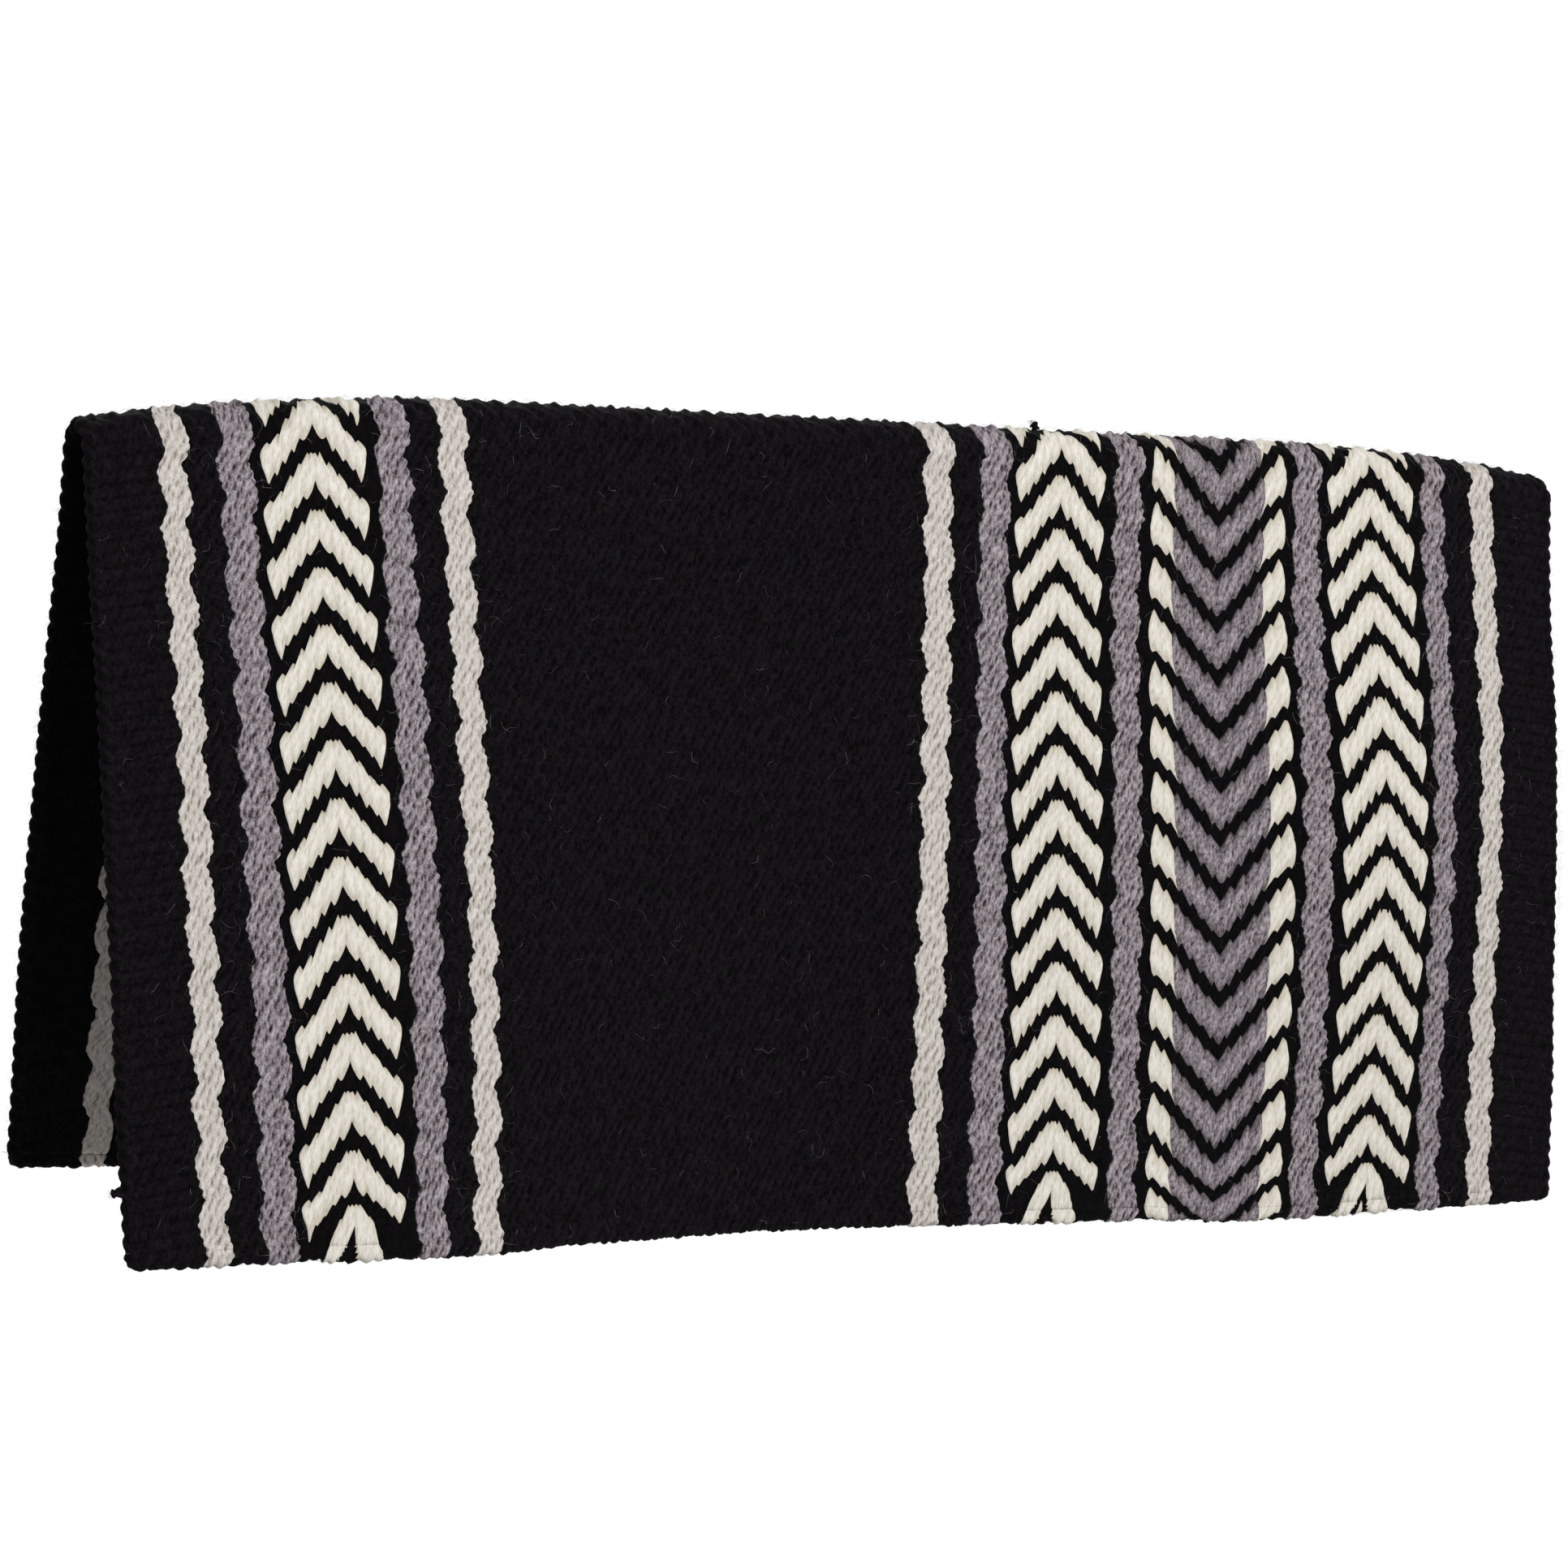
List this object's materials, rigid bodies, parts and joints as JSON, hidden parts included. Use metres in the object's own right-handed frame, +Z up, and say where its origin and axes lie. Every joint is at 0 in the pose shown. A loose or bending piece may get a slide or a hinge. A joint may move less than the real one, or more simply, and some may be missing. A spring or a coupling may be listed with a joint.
{
  "type": "saddle blanket",
  "caption": "Thick woven wool saddle blanket with chevron and diamond stripes, hung folded once over a rail; each half hinges up at the fold.",
  "frame": {"origin": "top of the rack rail, under the middle of the fold", "axes": "+X along the fold, towards the right end as seen from the front half; +Z up; -Y out of the front half"},
  "size_m": [0.9144, 0.1664, 0.4469],
  "materials": {
    "black_wool": "matte",
    "light_grey_wool": "matte",
    "purple_grey_wool": "matte",
    "cream_wool": "matte"
  },
  "bodies": {
    "ridge": {"ridge_warp": "black_wool"},
    "front_half": {"front_left_end": "black_wool", "front_grey_stripe_1": "light_grey_wool", "front_black_line_1": "black_wool", "front_purple_stripe_1": "purple_grey_wool", "front_chevron_band_1": "cream_wool", "front_purple_stripe_2": "purple_grey_wool", "front_black_line_2": "black_wool", "front_grey_stripe_2": "light_grey_wool", "front_black_field": "black_wool", "front_grey_stripe_3": "light_grey_wool", "front_black_line_3": "black_wool", "front_purple_stripe_3": "purple_grey_wool", "front_chevron_band_2": "cream_wool", "front_purple_stripe_4": "purple_grey_wool", "front_diamond_band": "cream_wool", "front_purple_stripe_5": "purple_grey_wool", "front_chevron_band_3": "cream_wool", "front_purple_stripe_6": "purple_grey_wool", "front_black_line_4": "black_wool", "front_grey_stripe_4": "light_grey_wool", "front_right_end": "black_wool", "front_hem_cord": "black_wool", "front_left_end_cord": "black_wool", "front_right_end_cord": "black_wool"},
    "rear_half": {"rear_left_end": "black_wool", "rear_grey_stripe_1": "light_grey_wool", "rear_black_line_1": "black_wool", "rear_purple_stripe_1": "purple_grey_wool", "rear_chevron_band_1": "cream_wool", "rear_purple_stripe_2": "purple_grey_wool", "rear_black_line_2": "black_wool", "rear_grey_stripe_2": "light_grey_wool", "rear_black_field": "black_wool", "rear_grey_stripe_3": "light_grey_wool", "rear_black_line_3": "black_wool", "rear_purple_stripe_3": "purple_grey_wool", "rear_chevron_band_2": "cream_wool", "rear_purple_stripe_4": "purple_grey_wool", "rear_diamond_band": "cream_wool", "rear_purple_stripe_5": "purple_grey_wool", "rear_chevron_band_3": "cream_wool", "rear_purple_stripe_6": "purple_grey_wool", "rear_black_line_4": "black_wool", "rear_grey_stripe_4": "light_grey_wool", "rear_right_end": "black_wool", "rear_hem_cord": "black_wool", "rear_left_end_cord": "black_wool", "rear_right_end_cord": "black_wool"}
  },
  "joints": [
    {"name": "front_lift", "type": "hinge", "parent": "ridge", "child": "front_half", "pos_m": [0, 0, 0.007], "axis": [-1, 0, 0], "range_deg": [0, 85]},
    {"name": "rear_lift", "type": "hinge", "parent": "ridge", "child": "rear_half", "pos_m": [0, 0, 0.007], "axis": [1, 0, 0], "range_deg": [0, 75]}
  ]
}
